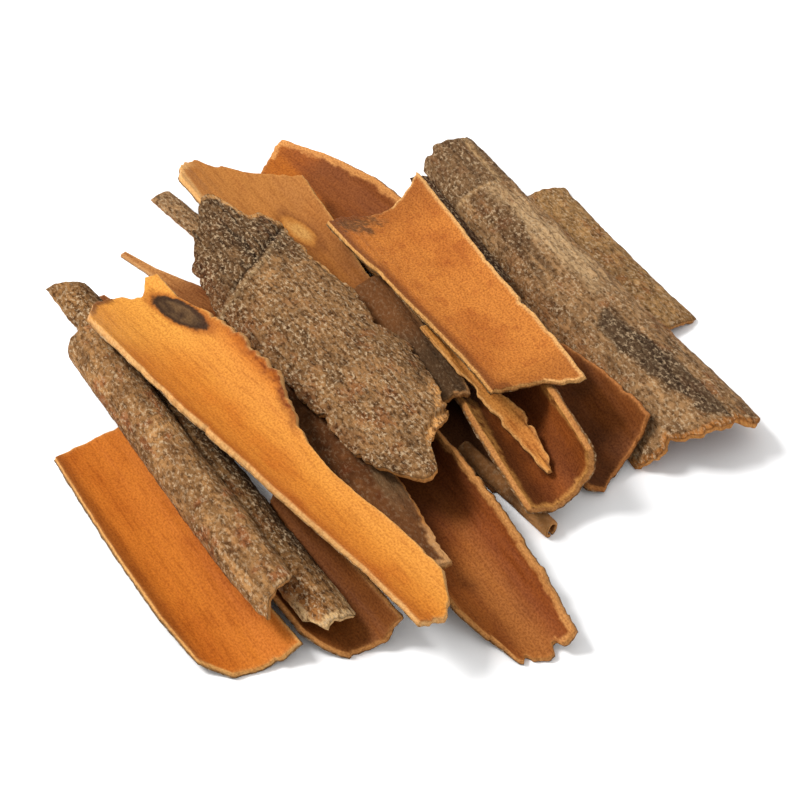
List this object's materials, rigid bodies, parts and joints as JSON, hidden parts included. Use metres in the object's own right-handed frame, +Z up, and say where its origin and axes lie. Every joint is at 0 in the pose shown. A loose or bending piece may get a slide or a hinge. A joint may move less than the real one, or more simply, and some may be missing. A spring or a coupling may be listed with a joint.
{
  "type": "stack of cinnamon sticks",
  "caption": "Loose stack of broken cassia cinnamon bark, curled slabs, troughs and quills lying lengthwise on one another as they fell.",
  "frame": {"origin": "on the table, under the middle of the stack's bounding box", "axes": "+Y along the sticks, away from the viewer of the picture; +X to the right across them; +Z up"},
  "size_m": [0.181, 0.2042, 0.0242],
  "materials": {
    "bark_inner_bright": "dry fibrous inner face of cassia bark, light orange brown, matt",
    "bark_inner_dull": "dry fibrous inner face of cassia bark, reddish brown, matt",
    "bark_outer_grey": "rough cork side of cassia bark, mottled grey brown, matt",
    "bark_outer_brown": "rough cork side of cassia bark, mottled brown, matt"
  },
  "bodies": {
    "root": {"slab_front_left": "bark_inner_bright", "slab_back_orange": "bark_inner_bright", "splinter_far_left": "bark_inner_bright", "splinter_in_trough": "bark_inner_bright", "slab_long_orange": "bark_inner_bright", "slab_top_orange": "bark_inner_bright", "trough_back": "bark_inner_dull", "trough_under_long_slab": "bark_inner_dull", "trough_front_middle": "bark_inner_dull", "trough_right_dark": "bark_inner_dull", "trough_centre_right": "bark_inner_dull", "strip_under_long_slab": "bark_inner_dull", "slab_dark_middle": "bark_inner_dull", "stub_far_left": "bark_outer_grey", "quill_long_dark": "bark_outer_grey", "quill_below_grey_slab": "bark_outer_grey", "strip_grey_middle": "bark_outer_grey", "slab_grey_top": "bark_outer_grey", "slab_far_right": "bark_outer_brown", "quill_thin": "bark_outer_brown", "quill_right_large": "bark_outer_brown", "strip_beside_large_quill": "bark_outer_brown", "quill_front_left": "bark_outer_brown"}
  },
  "joints": []
}
